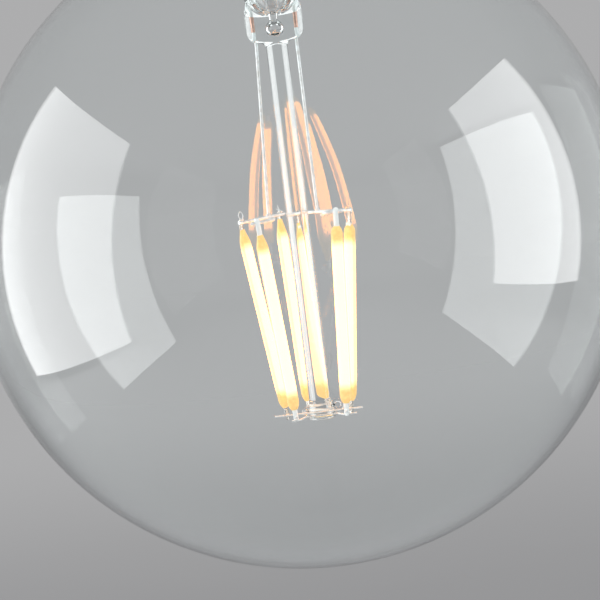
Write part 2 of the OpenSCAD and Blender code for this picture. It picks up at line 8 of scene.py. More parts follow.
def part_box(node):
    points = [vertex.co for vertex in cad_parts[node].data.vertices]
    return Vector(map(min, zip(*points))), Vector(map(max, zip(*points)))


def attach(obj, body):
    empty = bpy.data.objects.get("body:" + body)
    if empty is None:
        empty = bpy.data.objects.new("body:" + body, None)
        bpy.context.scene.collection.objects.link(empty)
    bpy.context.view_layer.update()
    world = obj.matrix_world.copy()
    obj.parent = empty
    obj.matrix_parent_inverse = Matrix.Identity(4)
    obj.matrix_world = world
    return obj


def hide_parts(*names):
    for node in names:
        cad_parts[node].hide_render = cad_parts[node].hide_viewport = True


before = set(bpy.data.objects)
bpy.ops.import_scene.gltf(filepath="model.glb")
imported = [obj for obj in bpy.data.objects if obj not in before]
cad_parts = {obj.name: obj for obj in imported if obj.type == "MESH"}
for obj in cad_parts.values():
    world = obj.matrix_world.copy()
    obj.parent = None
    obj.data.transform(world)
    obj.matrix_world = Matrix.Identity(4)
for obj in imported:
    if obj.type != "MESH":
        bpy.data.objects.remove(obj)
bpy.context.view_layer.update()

MM = 0.001
MERGE = 0.001 * MM
Y_AXIS = 1
Z_AXIS = 2
scene = bpy.context.scene


# Sizes worked out from the frame, in metres, with the centre contact's tip at the origin

globe_low, globe_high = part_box("globe")
GLOBE_R = (globe_high.x - globe_low.x) / 2
GLOBE_Z = globe_low.z + GLOBE_R
SEAL_Z = globe_high.z
CAP_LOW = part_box("cap_shell")[0].z
LIP_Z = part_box("cap_shell")[1].z
SKIRT_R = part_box("cap_shell")[1].x
PRESS_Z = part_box("stem_press")[0].z
PRESS_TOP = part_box("stem_press")[1].z
PRESS_HALF_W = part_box("stem_press")[1].x
POST_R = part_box("support_tube")[1].x
BUTTON_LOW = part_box("glass_button")[0].z
BUTTON_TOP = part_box("support_tube")[0].z
EXHAUST_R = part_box("exhaust_tube")[1].x
EXHAUST_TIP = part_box("exhaust_tube")[1].z
RIM_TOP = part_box("stem_flare")[1].z
CAP_NECK_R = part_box("stem_flare")[1].x

# Sizes that the nodes' boxes don't show
GLOBE_WALL = 0.9 * MM
NECK_R = 13.4 * MM
NECK_SWEEP = 24 * MM
SHOULDER_R = 2 * MM
STEM_R = 5 * MM
PRESS_HALF_T = 2.6 * MM
STEM_WALL = 1 * MM
FLARE_SWEEP = 14 * MM
MOUTH_R = 9.5 * MM
CAVITY_Z = PRESS_Z + 4.8 * MM
HOLE_Z = PRESS_Z + 2.6 * MM
BUTTON_R = 2.7 * MM
# Each loop at the button: its place along X, the radii of its ring and bead, its height over the wires
BUTTON_LOOPS = (
    (3.2 * MM, 0.9 * MM, 0.43 * MM, 0.95 * MM),
    (-2.85 * MM, 0.5 * MM, 0.32 * MM, 0.35 * MM),
)
SERIES_Z = BUTTON_TOP - 2.2 * MM


# Node trees

def new_material(name):
    """Empty node material with its output."""
    made = bpy.data.materials.new(name)
    made.use_nodes = True
    made.node_tree.nodes.clear()
    return made, made.node_tree, made.node_tree.nodes.new("ShaderNodeOutputMaterial")


def add(tree, kind, values=None, **options):
    """Node with options set, its sockets given a value each or joined to another node's socket."""
    made = tree.nodes.new("ShaderNode" + kind)
    for name, choice in options.items():
        setattr(made, name, choice)
    for name, value in (values or {}).items():
        if isinstance(value, bpy.types.NodeSocket):
            tree.links.new(value, made.inputs[name])
        else:
            made.inputs[name].default_value = value
    return made


def noise(tree, scale, detail=2.0, roughness=0.5):
    """Cloud pattern on the piece's own coordinates; scale is its waves in a metre."""
    where = add(tree, "TexCoord").outputs["Object"]
    values = {"Vector": where, "Scale": scale, "Detail": detail, "Roughness": roughness}
    return add(tree, "TexNoise", values).outputs["Fac"]


def spread(tree, value, low, high, to_low, to_high):
    """Value carried from one range to another."""
    values = {"Value": value, "From Min": low, "From Max": high, "To Min": to_low, "To Max": to_high}
    return add(tree, "MapRange", values).outputs["Result"]


def ramp(tree, factor, stops):
    """Colours along a value, as (place, colour) from low to high."""
    made = add(tree, "ValToRGB", {"Fac": factor})
    steps = made.color_ramp.elements
    for place, _ in stops[1:-1]:
        steps.new(place)
    steps[0].position = stops[0][0]
    steps[-1].position = stops[-1][0]
    for step, (_, colour) in zip(steps, stops):
        step.color = (*colour, 1)
    return made.outputs["Color"]


def bump(tree, height, strength, distance):
    """Normal that follows a pattern's height; distance is its depth in metres."""
    values = {"Height": height, "Strength": strength, "Distance": distance}
    return add(tree, "Bump", values).outputs["Normal"]


# Materials

def clear_glass(name, wave, depth, density):
    """Clear glass that lets lamplight through to what is behind it, teal where it is seen edge on."""
    made, tree, out = new_material(name)
    ripple = noise(tree, wave, detail=1.0)
    glass = add(tree, "BsdfPrincipled", {
        "Base Color": (1, 1, 1, 1), "Roughness": 0.0, "IOR": 1.52, "Transmission Weight": 1.0,
        "Normal": bump(tree, ripple, 0.25, depth),
    })
    open_way = add(tree, "BsdfTransparent", {"Color": (0.97, 0.99, 0.985, 1)})
    shadow = add(tree, "LightPath").outputs["Is Shadow Ray"]
    mixed = add(tree, "MixShader", {0: shadow, 1: glass.outputs[0], 2: open_way.outputs[0]})
    tree.links.new(mixed.outputs[0], out.inputs["Surface"])
    tint = add(tree, "VolumeAbsorption", {"Color": (0.0, 0.84, 0.80, 1), "Density": density})
    tree.links.new(tint.outputs[0], out.inputs["Volume"])
    return made


def metal(name, bright, dull, rough, wave=900.0, grain=0.02 * MM, share=1.0):
    """Plated or drawn metal with faint clouds of tarnish and a fine grain; share is how bare the metal is."""
    made, tree, out = new_material(name)
    clouds = noise(tree, wave, detail=4.0, roughness=0.6)
    colour = ramp(tree, clouds, [(0.35, dull), (0.62, bright)])
    fine = noise(tree, wave * 6, detail=3.0)
    surface = add(tree, "BsdfPrincipled", {
        "Base Color": colour, "Metallic": share,
        "Roughness": spread(tree, clouds, 0.3, 0.7, rough * 1.35, rough * 0.8),
        "Normal": bump(tree, fine, 0.3, grain),
    })
    tree.links.new(surface.outputs[0], out.inputs["Surface"])
    return made


def moulded(name, colour, other, rough, wave=1200.0, grain=0.03 * MM, coat=0.0):
    """Moulded, fired or sleeved surface, speckled between two colours."""
    made, tree, out = new_material(name)
    clouds = noise(tree, wave, detail=5.0, roughness=0.65)
    fine = noise(tree, wave * 4, detail=3.0)
    surface = add(tree, "BsdfPrincipled", {
        "Base Color": ramp(tree, clouds, [(0.36, other), (0.6, colour)]),
        "Roughness": spread(tree, clouds, 0.3, 0.7, rough * 1.2, rough * 0.85),
        "Normal": bump(tree, fine, 0.4, grain), "Coat Weight": coat,
    })
    tree.links.new(surface.outputs[0], out.inputs["Surface"])
    return made


def lit_phosphor():
    """Phosphor coat lit from inside: nearly white along its body, amber at its ends and thin edges."""
    made, tree, out = new_material("phosphor_coat")
    glow = add(tree, "Attribute", attribute_name="glow").outputs["Fac"]
    grains = noise(tree, 1500.0, detail=3.0)
    unevenness = 0.12
    uneven = add(tree, "Math", {0: grains, 1: unevenness}, operation="MULTIPLY").outputs[0]
    level = add(tree, "Math", {0: glow, 1: uneven}, operation="ADD").outputs[0]
    light = ramp(tree, level, [
        (0.06, (0.045, 0.026, 0.009)), (0.34, (0.070, 0.046, 0.018)),
        (0.58, (0.16, 0.092, 0.048)), (0.7, (0.30, 0.112, 0.064)), (0.95, (1.0, 0.40, 0.093)),
    ])
    surface = add(tree, "BsdfPrincipled", {
        "Base Color": ramp(tree, grains, [(0.3, (0.50, 0.30, 0.08)), (0.7, (0.58, 0.36, 0.11))]),
        "Roughness": 0.45, "Emission Color": light, "Emission Strength": 9.0,
        "Normal": bump(tree, grains, 0.3, 0.03 * MM),
    })
    tree.links.new(surface.outputs[0], out.inputs["Surface"])
    return made


def pale_floor():
    """Floor lit by the lamps under the bulb, which goes over into the backdrop's colour further out."""
    made, tree, out = new_material("pale_floor")
    place = add(tree, "TexCoord").outputs["Object"]
    away = add(tree, "VectorMath", {0: place}, operation="LENGTH").outputs["Value"]
    far = add(tree, "MapRange", {
        "Value": away, "From Min": FLOOR_LIT_TO, "From Max": FLOOR_FADED_AT, "To Min": 0.0, "To Max": 1.0,
    }, interpolation_type="SMOOTHSTEP").outputs["Result"]
    seen = seen_backdrop(tree)
    share = add(tree, "Math", {0: far, 1: seen}, operation="MULTIPLY").outputs[0]
    mottle = noise(tree, 6.0, detail=2.0)
    matt = add(tree, "BsdfPrincipled", {
        "Base Color": ramp(tree, mottle, [(0.3, (0.405, 0.405, 0.41)), (0.7, (0.42, 0.42, 0.425))]),
        "Roughness": 0.9, "Specular IOR Level": 0.1,
    })
    glow = add(tree, "Emission", {"Color": (*PALE, 1), "Strength": 1.0})
    mixed = add(tree, "MixShader", {0: share, 1: matt.outputs[0], 2: glow.outputs[0]})
    tree.links.new(mixed.outputs[0], out.inputs["Surface"])
    return made


# Mesh helpers

def arc(x, z, r, start, end, steps):
    """Points of an arc round (x, z), angles in degrees."""
    angles = [radians(start + (end - start) * k / steps) for k in range(steps + 1)]
    return [(x + r * cos(a), z + r * sin(a)) for a in angles]


def turned(bm, outline, steps, closed=False):
    """Spins an outline of (radius, height) points round the lamp's axis."""
    line = [bm.verts.new((r, 0, z)) for r, z in outline]
    pairs = list(zip(line, line[1:])) + ([(line[-1], line[0])] if closed else [])
    edges = [bm.edges.new(pair) for pair in pairs]
    bmesh.ops.spin(bm, geom=line + edges, cent=(0, 0, 0), axis=(0, 0, 1), angle=2 * pi,
                   steps=steps, use_merge=True)
    bmesh.ops.remove_doubles(bm, verts=bm.verts, dist=MERGE)


def next_ring(bm, ring):
    """Extrudes a closed ring and gives the new one in the same order."""
    edges = [bm.edges.get(pair) for pair in zip(ring, ring[1:] + ring[:1])]
    grown = bmesh.ops.extrude_edge_only(bm, edges=edges)["geom"]
    new = {v for v in grown if isinstance(v, bmesh.types.BMVert)}
    return [next(e.other_vert(v) for e in v.link_edges if e.other_vert(v) in new) for v in ring]


def lofted(bm, rings):
    """Skin through rings of points, each ring extruded from the one before; a ring may shrink to a point."""
    ring = bmesh.ops.create_circle(bm, cap_ends=False, radius=1, segments=len(rings[0]))["verts"]
    for number, points in enumerate(rings):
        if number:
            ring = next_ring(bm, ring)
        for vert, point in zip(ring, points):
            vert.co = point


def closed_ends(rings):
    """The rings with each end drawn to its middle."""
    def middle(ring):
        return [sum(ring, Vector()) / len(ring)] * len(ring)
    return [middle(rings[0])] + rings + [middle(rings[-1])]


def oval(z, a, b, square=2.0, count=64):
    """Ring of points at a height, half widths a and b; square above 2 fills out its corners."""
    def corner(value):
        return (1 if value >= 0 else -1) * abs(value) ** (2 / square)
    turns = [2 * pi * k / count for k in range(count)]
    return [Vector((a * corner(cos(t)), b * corner(sin(t)), z)) for t in turns]


def made_piece(bm, name, material, nodes, crease=40):
    """Object of a finished mesh, riding on the lamp and standing for its CAD nodes."""
    mesh = bpy.data.meshes.new(name)
    bm.to_mesh(mesh)
    bm.free()
    mesh.polygons.foreach_set("use_smooth", [True] * len(mesh.polygons))
    mesh.set_sharp_from_angle(angle=radians(crease))
    mesh.materials.append(material)
    piece = bpy.data.objects.new(name, mesh)
    scene.collection.objects.link(piece)
    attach(piece, "root")
    if nodes:
        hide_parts(*nodes)


def outward(bm):
    """Merges doubles, then turns every face outwards."""
    bmesh.ops.remove_doubles(bm, verts=bm.verts, dist=MERGE)
    bmesh.ops.recalc_face_normals(bm, faces=bm.faces)


def cut(bm, tool, operation):
    """Joins a closed mesh to another, or takes it away, and gives the result."""
    pair = []
    for source in (bm, tool):
        mesh = bpy.data.meshes.new("cutting")
        source.to_mesh(mesh)
        source.free()
        pair.append(bpy.data.objects.new("cutting", mesh))
        scene.collection.objects.link(pair[-1])
    body, other = pair
    step = body.modifiers.new("cut", "BOOLEAN")
    step.operation = operation
    step.solver = "EXACT"
    step.object = other
    shaped = body.evaluated_get(bpy.context.evaluated_depsgraph_get())
    result = bmesh.new()
    result.from_mesh(shaped.data)
    for used in pair:
        mesh = used.data
        bpy.data.objects.remove(used)
        bpy.data.meshes.remove(mesh)
    return result


# Globe

def globe_outline(inset):
    """Half outline of the glass's outer or inner face, from the globe's bottom up to its sealed rim."""
    centre_r = NECK_R + NECK_SWEEP
    lean = asin(centre_r / (GLOBE_R + NECK_SWEEP))
    sweep_z = GLOBE_Z + (GLOBE_R + NECK_SWEEP) * cos(lean)
    shoulder_z = CAP_LOW - SHOULDER_R
    turn = 90 - lean * 180 / pi
    ball = arc(0, GLOBE_Z, GLOBE_R - inset, -90, turn, 96)
    sweep = arc(centre_r, sweep_z, NECK_SWEEP + inset, turn + 180, 180, 24)
    ball[0] = (0, ball[0][1])
    shoulder = arc(CAP_NECK_R, shoulder_z, SHOULDER_R - inset, 0, 80, 8)
    neck = CAP_NECK_R - inset
    ease = 0.3 * MM
    corner_z = CAP_LOW - inset
    step_in = [(neck + ease / 3, corner_z + ease / 2), (neck, corner_z + 2 * ease), (neck, SEAL_Z)]
    return ball + sweep[1:] + shoulder + step_in


def globe_glass():
    """Blown globe with its neck, both faces of its wall in one closed skin."""
    bm = bmesh.new()
    outside = globe_outline(0)
    inside = globe_outline(GLOBE_WALL)
    turned(bm, outside + inside[::-1], steps=192)
    outward(bm)
    glass = clear_glass("globe_glass", wave=60.0, depth=0.05 * MM, density=18.0)
    made_piece(bm, "globe_glass", glass, ["globe"])


# Stem

def button_and_post():
    """Rings of the short glass cup at the post's foot, with its thick lower rim, and of the post."""
    low = BUTTON_LOW
    rim = 0.45 * MM
    foot = [(0.0, low + 0.3 * MM), (1.2 * MM, low + 0.2 * MM), (1.9 * MM, low + 0.04 * MM)]
    foot += arc(BUTTON_R - rim, low + rim, rim, -90, 50, 8)
    # radii and heights of the cup's wall, in millimetres
    wall = [(2.48, 1.1), (2.46, 1.6), (2.46, 2.1), (2.44, 2.5),
            (2.36, 2.8), (2.22, 3.05), (2.12, 3.25), (2.07, 3.5)]
    cup = [(r * MM, low + z * MM) for r, z in wall]
    first = low + 3.95 * MM
    last = PRESS_Z - 1.2 * MM
    run = [(POST_R, first + (last - first) * k / 8) for k in range(9)]
    return [oval(z, r, r) for r, z in foot + cup + run]


def press():
    """Rings of the flat press, from the post's fillet to the round stem tube."""
    corner = 2.1 * MM
    draft = 0.25 * MM
    flat_top = PRESS_Z + 4.2 * MM
    tube_z = PRESS_TOP + 1 * MM
    rings = [
        oval(PRESS_Z - 0.75 * MM, 2.15 * MM, 2.1 * MM),
        oval(PRESS_Z - 0.35 * MM, 2.4 * MM, 2.2 * MM),
        oval(PRESS_Z - 0.05 * MM, 2.9 * MM, 2.3 * MM, 2.4),
    ]
    for k in range(1, 9):
        turn = radians(90 * k / 8)
        a = PRESS_HALF_W - corner + corner * sin(turn)
        b = PRESS_HALF_T - draft * cos(turn)
        rings.append(oval(PRESS_Z + corner * (1 - cos(turn)), a, b, 2.6 + 1.4 * sin(turn)))
    up = 7
    for k in range(1, up + 1):
        share = k / up
        ease = smooth_step(share)
        a = PRESS_HALF_W + (STEM_R - PRESS_HALF_W) * ease
        b = PRESS_HALF_T + (STEM_R - PRESS_HALF_T) * ease
        rings.append(oval(flat_top + (tube_z - flat_top) * share, a, b, 4 - 2 * ease))
    return rings


def flare_and_bore():
    """Rings up the tube, round the flare's rim, back down the bore and up the exhaust tube to its tip."""
    bell_x = FLARE_SWEEP + STEM_R
    rise = sqrt(FLARE_SWEEP ** 2 - (bell_x - MOUTH_R) ** 2)
    bell_z = SEAL_Z - rise
    turn = atan2(rise, bell_x - MOUTH_R) * 180 / pi
    outside = arc(bell_x, bell_z, FLARE_SWEEP, 180, 180 - turn, 12)
    rim = [(CAP_NECK_R - 0.2 * MM, SEAL_Z), (CAP_NECK_R, SEAL_Z + 0.2 * MM),
           (CAP_NECK_R, RIM_TOP - 0.3 * MM), (CAP_NECK_R - 0.3 * MM, RIM_TOP)]
    inside = arc(bell_x, bell_z, FLARE_SWEEP + STEM_WALL, 180 - turn, 180, 12)
    bore_r = STEM_R - STEM_WALL
    cavity = arc(0, CAVITY_Z + bore_r, bore_r, 0, -60, 6)
    low = cavity[-1][1]
    fillet = [(EXHAUST_R + 0.12 * MM, low + 0.05 * MM), (EXHAUST_R, low + 0.5 * MM)]
    tip = arc(0, EXHAUST_TIP - EXHAUST_R, EXHAUST_R, 0, 90, 8)
    tip[-1] = (0, EXHAUST_TIP)
    line = outside + rim + [(MOUTH_R - 0.6 * MM, RIM_TOP)] + inside + cavity + fillet + tip
    return [oval(z, r, r) for r, z in line]


def blown_hole():
    """Flask of air: the hole blown through the press, its neck and the exhaust tube's bore."""
    bm = bmesh.new()
    bore_r = EXHAUST_R - 0.9 * MM
    low = HOLE_Z - 1.5 * MM
    flatness = 0.8
    # radii and heights of the hole and its neck, in millimetres
    body = [(0.0, 0.0), (0.9, 0.12), (1.5, 0.5), (1.85, 1.2),
            (1.75, 1.9), (1.3, 2.5), (0.85, 2.95), (0.8, 3.6)]
    rings = [oval(low + z * MM, r * MM, r * flatness * MM, count=32) for r, z in body]
    top = EXHAUST_TIP - 2.4 * MM
    bore = [(bore_r, CAVITY_Z + 1.2 * MM)] + arc(0, top - bore_r, bore_r, 0, 90, 6)
    bore[-1] = (0, top)
    lofted(bm, rings + [oval(z, r, r, count=32) for r, z in bore])
    outward(bm)
    mouth = bmesh.new()
    reach = PRESS_HALF_T + 1 * MM
    bmesh.ops.create_cone(mouth, cap_ends=True, segments=24, radius1=0.6 * MM, radius2=0.5 * MM, depth=reach)
    side = Matrix.Translation((0, -reach / 2, HOLE_Z)) @ Matrix.Rotation(radians(90), 4, "X")
    bmesh.ops.transform(mouth, verts=mouth.verts, matrix=side)
    return cut(bm, mouth, "UNION")


def button_loop(x, ring_r, bead_r, up):
    """Bead of glass drawn into a loop beside the button; up is its height over the wires."""
    bm = bmesh.new()
    bead = bmesh.ops.create_circle(bm, cap_ends=False, radius=bead_r, segments=16)["verts"]
    bmesh.ops.translate(bm, verts=bead, vec=(ring_r, 0, 0))
    edges = list(bm.edges)
    bmesh.ops.spin(bm, geom=bead + edges, cent=(0, 0, 0), axis=(0, 1, 0), angle=2 * pi,
                   steps=36, use_merge=True)
    outward(bm)
    bmesh.ops.transform(bm, verts=bm.verts, matrix=Matrix.Translation((x, 0, SERIES_Z + up)))
    return bm


def stem_glass():
    """The lamp's stem in one: button, post, press, flare and exhaust tube are fused together."""
    bm = bmesh.new()
    lofted(bm, button_and_post() + press() + flare_and_bore())
    outward(bm)
    for x, ring_r, bead_r, up in BUTTON_LOOPS:
        bm = cut(bm, button_loop(x, ring_r, bead_r, up), "UNION")
    bm = cut(bm, blown_hole(), "DIFFERENCE")
    glass = clear_glass("stem_glass", wave=300.0, depth=0.02 * MM, density=6.0)
    nodes = ["stem_flare", "stem_press", "exhaust_tube", "support_tube", "glass_button"]
    made_piece(bm, "stem_glass", glass, nodes)


# Light strips, whose own origin is the top of the upper tab, with Z up along the strip

STRIPS = range(1, 7)
# Strips whose tabs are painted near white, a painted highlight for the light that falls on them; they are the
# same metal as the other tabs
PAINTED_LIT_TABS = (2, 5)
UPPER_TAB = 1.9 * MM
COAT_L = 34.4 * MM
LOWER_TAB = 2.4 * MM
COAT_HALF_T = 0.9 * MM
COAT_HALF_W = 1.125 * MM
COAT_TIP_HALF_T = 0.3 * MM
COAT_TIP_HALF_W = 0.57 * MM
# Length over which a coat's upper end is drawn out thin, for the strips where it is
DRAWN_TIPS = {1: 3.0 * MM, 2: 2.8 * MM, 3: 3.8 * MM, 4: 3.4 * MM}
BLUNT_TIP = 1.5 * MM
# How much further up its tab a coat reaches than usual
TIP_SHIFT = {1: 0.5 * MM, 2: -0.5 * MM, 3: 1.0 * MM, 5: -0.8 * MM, 6: -0.8 * MM}
FOOT_TIP = 1.7 * MM
# Powers that shape a coat's drawn out and blunt ends
DRAWN_OUT = 1.35
BLUNT = 0.8
# Length of the dim end past a coat's last chip, and of the stretch over which it brightens
AMBER_END = 2.1 * MM
AMBER_FADE = 2.4 * MM
STRIP_HALF_T = 0.175 * MM
TAB_W = 0.95 * MM
TAB_T = 0.25 * MM
HOOK_R = 0.5 * MM
# Radii of the drops of metal where wires and tabs are joined
LEAD_DROP = 0.42 * MM
ARM_DROP = 0.36 * MM
ARM_FOOT_DROP = 0.4 * MM
SERIES_DROP = 0.34 * MM
# Loose wire ends over two strips' hooks: how far each goes along X and up, and how far it bows sideways
LOOSE_ENDS = {
    1: ((-0.13 * MM, 1.6 * MM, -0.45 * MM), (-0.13 * MM, 1.6 * MM, 0.4 * MM)),
    3: ((-0.45 * MM, 1.26 * MM, -0.1 * MM), (-0.81 * MM, 0.6 * MM, 0.1 * MM)),
}


def strip_frame(number):
    """Place of a strip's hook and the strip's turn, read from its carrier: Z up, X to its outer face."""
    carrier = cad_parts[f"filament_strip_{number}"].data
    points = {tuple(round(c, 7) for c in v.co) for v in carrier.vertices}
    corners = sorted((Vector(p) for p in points), key=lambda p: p.z)
    low = sum(corners[:4], Vector()) / 4
    high = sum(corners[4:], Vector()) / 4
    up = (high - low).normalized()
    first = corners[4]
    sides = sorted((p - first for p in corners[5:]), key=lambda v: v.length)
    out = (sides[0] - up * sides[0].dot(up)).normalized()
    if out.dot(Vector((high.x, high.y, 0))) < 0:
        out = -out
    place = (low + high) / 2 + up * (UPPER_TAB + COAT_L / 2) + out * (STRIP_HALF_T + TAB_T / 2)
    turn = Matrix((out, up.cross(out), up)).transposed()
    return Matrix.Translation(place) @ turn.to_4x4()


def smooth_step(value):
    """0 up to 0 and 1 from 1 on, with an eased rise between."""
    value = max(0.0, min(1.0, value))
    return value * value * (3 - 2 * value)


def coat_swell(away, tip, drawn):
    """Share of the coat's full thickness at a distance from its end; drawn above 1 pulls the end out thin."""
    return sin(pi / 2 * min(1.0, away / tip)) ** drawn


def coat_ring(number, z):
    """Ring of a coat: full along its body, drawn in round the tab at each end."""
    from_top = TIP_SHIFT.get(number, 0) - UPPER_TAB - z
    tip = DRAWN_TIPS.get(number, BLUNT_TIP)
    top = coat_swell(from_top, tip, DRAWN_OUT if number in DRAWN_TIPS else BLUNT)
    swell = min(top, coat_swell(COAT_L + UPPER_TAB + z, FOOT_TIP, BLUNT))
    a = COAT_TIP_HALF_T + (COAT_HALF_T - COAT_TIP_HALF_T) * swell
    b = COAT_TIP_HALF_W + (COAT_HALF_W - COAT_TIP_HALF_W) * swell
    return oval(z, a, b, 2.3, count=32)


def coat_glow(away, side):
    """How brightly a spot of the coat shines: ends past the last chip and the thin edges stay amber."""
    dimmest = 0.28
    edge_from = 0.84
    edge_loss = 0.42
    end = dimmest + (1 - dimmest) * smooth_step((away - AMBER_END) / AMBER_FADE)
    return end * (1 - edge_loss * smooth_step((side - edge_from) / (1 - edge_from)))


def phosphor_coat(number, material, to_lamp):
    """Coat of one strip, with close rings near its ends and its glow written on its points."""
    bm = bmesh.new()
    step = 0.2 * MM
    close_rings = 25
    body_steps = 12
    near = [k * step for k in range(close_rings)]
    start = TIP_SHIFT.get(number, 0) - UPPER_TAB
    foot = -UPPER_TAB - COAT_L
    body_l = start - foot - 2 * near[-1]
    body = [start - near[-1] - body_l * k / body_steps for k in range(1, body_steps)]
    heights = [start - away for away in near] + body + [foot + away for away in reversed(near)]
    lofted(bm, closed_ends([coat_ring(number, z) for z in heights]))
    outward(bm)
    glow = bm.verts.layers.float.new("glow")
    for v in bm.verts:
        away = min(start - v.co.z, v.co.z - foot)
        v[glow] = coat_glow(away, abs(v.co.y) / COAT_HALF_W)
    bmesh.ops.transform(bm, verts=bm.verts, matrix=to_lamp)
    name = f"phosphor_coat_{number}"
    made_piece(bm, name, material, [f"filament_coat_{number}"])


def ribbon(bm, line, half_widths):
    """Bar of the tab's sheet along (x, z) points in the strip's own frame, a half width for each."""
    ease = 0.06 * MM
    half_t = TAB_T / 2
    rings = []
    for k, ((x, z), w) in enumerate(zip(line, half_widths)):
        ahead = Vector(line[min(k + 1, len(line) - 1)]) - Vector(line[max(k - 1, 0)])
        ahead.normalize()
        side = Vector((ahead.y, -ahead.x))
        section = [(half_t, w - ease), (half_t - ease, w), (ease - half_t, w), (-half_t, w - ease),
                   (-half_t, ease - w), (ease - half_t, -w), (half_t - ease, -w), (half_t, ease - w)]
        rings.append([Vector((x + side.x * t, y, z + side.y * t)) for t, y in section])
    lofted(bm, closed_ends(rings))


def weld_bead(bm, place, size, flat=0.75):
    """Drop of metal where two wires were welded."""
    bead = bmesh.ops.create_icosphere(bm, subdivisions=3, radius=size)["verts"]
    bmesh.ops.scale(bm, verts=bead, vec=(1.25, 1, flat))
    bmesh.ops.translate(bm, verts=bead, vec=place)


def end_tabs(number, material, to_lamp):
    """Upper tab hooked over its wire, with a drop of metal on the two tabs painted bright as if lit, and the
    straight lower tab.
    """
    bm = bmesh.new()
    upper = [(0, -UPPER_TAB - 1.2 * MM), (0, -UPPER_TAB), (0, -0.6 * MM)]
    upper += arc(-HOOK_R, 0, HOOK_R, 0, 120, 10)
    ribbon(bm, upper, [TAB_W / 2] * len(upper))
    low = -UPPER_TAB - COAT_L
    heights = [low + 0.5 * MM, low, low - LOWER_TAB + 0.4 * MM, low - LOWER_TAB]
    ribbon(bm, [(0, z) for z in heights], [TAB_W / 2] * 3 + [TAB_W / 3])
    if number in PAINTED_LIT_TABS:
        weld_bead(bm, Vector((-HOOK_R, 0, HOOK_R)), LEAD_DROP)
    outward(bm)
    bmesh.ops.transform(bm, verts=bm.verts, matrix=to_lamp)
    name = f"end_tabs_{number}"
    made_piece(bm, name, material, [f"filament_tabs_{number}"], crease=50)


def drawn_wire(bm, line, radius, thin):
    """Round wire along a line of points; thin is how much of its radius is left at its far end."""
    turns = [2 * pi * k / 12 for k in range(12)]
    rings = []
    for k, point in enumerate(line):
        ahead = (line[min(k + 1, len(line) - 1)] - line[max(k - 1, 0)]).normalized()
        side = ahead.cross(Vector((0.3, 1, 0.2))).normalized()
        across = ahead.cross(side)
        r = radius * (1 + (thin - 1) * k / (len(line) - 1))
        rings.append([point + side * r * cos(t) + across * r * sin(t) for t in turns])
    lofted(bm, closed_ends(rings))


def wire_end(node, axis, furthest):
    """Middle of a wire's end: its vertices at the low or high end of an axis, chosen by min or max."""
    points = [v.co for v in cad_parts[node].data.vertices]
    edge = furthest(p[axis] for p in points)
    tip = [p for p in points if abs(p[axis] - edge) < 0.15 * MM]
    return sum(tip, Vector()) / len(tip)


def loose_end(bm, hook, tip, bow):
    """Thin end of a hook's wire that stands up over the cross wire, bowed sideways."""
    shares = [k / 8 for k in range(9)]
    line = [hook + tip * share + bow * sin(pi * share) for share in shares]
    drawn_wire(bm, line, radius=0.12 * MM, thin=0.5)


def welds(material):
    """Weld drops on the cross wires, arms and series wires, and the loose wire ends over two hooks."""
    bm = bmesh.new()
    for side in ("left", "right"):
        weld_bead(bm, wire_end(f"inner_lead_{side}", Z_AXIS, min), LEAD_DROP)
        weld_bead(bm, wire_end(f"front_arm_{side}", Y_AXIS, max), ARM_DROP)
        weld_bead(bm, wire_end(f"front_arm_{side}", Y_AXIS, min), ARM_FOOT_DROP, 0.9)
    for number in STRIPS:
        to_lamp = strip_frame(number)
        foot = to_lamp @ Vector((0, 0, -UPPER_TAB - COAT_L))
        down = (to_lamp.to_3x3() @ Vector((0, 0, -1))).normalized()
        place = foot + down * ((foot.z - SERIES_Z) / -down.z)
        weld_bead(bm, place, SERIES_DROP, 0.8)
    for number, tips in LOOSE_ENDS.items():
        hook = strip_frame(number) @ Vector((-HOOK_R, 0, HOOK_R))
        weld_bead(bm, hook, ARM_DROP)
        for x, z, bow in tips:
            loose_end(bm, hook, Vector((x, 0, z)), Vector((bow, 0, 0)))
    outward(bm)
    made_piece(bm, "weld_drops", material, ())


def light_strips():
    """The six coats and their tabs; the carriers inside keep their CAD shape."""
    glowing = lit_phosphor()
    steel = metal("tab_steel", (0.78, 0.76, 0.72), (0.58, 0.55, 0.50), 0.25, wave=1500.0)
    # Painted highlight: the same tab steel drawn near white and matt, for the two tabs that catch the light
    painted_lit = metal("tab_painted_lit", (0.98, 0.98, 0.98), (0.93, 0.93, 0.92), 0.45, wave=1500.0, share=0.1)
    for number in STRIPS:
        to_lamp = strip_frame(number)
        phosphor_coat(number, glowing, to_lamp)
        end_tabs(number, painted_lit if number in PAINTED_LIT_TABS else steel, to_lamp)


# Cap

PITCH = 3.629 * MM
CREST_R = 13.15 * MM
ROOT_R = 12.05 * MM
THREAD_ARC = 1.025 * MM
THREAD_LOW = CAP_LOW + 5.6 * MM
THREAD_HIGH = LIP_Z - 1.3 * MM
SHEET = 0.3 * MM
LIP_R = 10.4 * MM


def thread_r(turn, z):
    """Radius of the rolled thread at an angle and height: round crests and roots of one radius."""
    along = (z - THREAD_LOW) / PITCH - turn / (2 * pi)
    away = abs(along - round(along)) * PITCH
    if away < PITCH / 4:
        return CREST_R - THREAD_ARC + sqrt(THREAD_ARC ** 2 - away ** 2)
    back = PITCH / 2 - away
    return ROOT_R + THREAD_ARC - sqrt(THREAD_ARC ** 2 - back ** 2)


def shell_r(turn, z):
    """Outer radius of the cap's wall: skirt, thread with its run-outs, and the root above it."""
    thread = thread_r(turn, z)
    into = smooth_step((z - THREAD_LOW) / (0.5 * PITCH))
    out_of = smooth_step((THREAD_HIGH - z) / (0.5 * PITCH))
    low_r = SKIRT_R - 0.25 * MM * smooth_step((z - THREAD_LOW + 0.6 * MM) / (0.6 * MM))
    wall = low_r + (thread - low_r) * into
    return ROOT_R + (wall - ROOT_R) * out_of


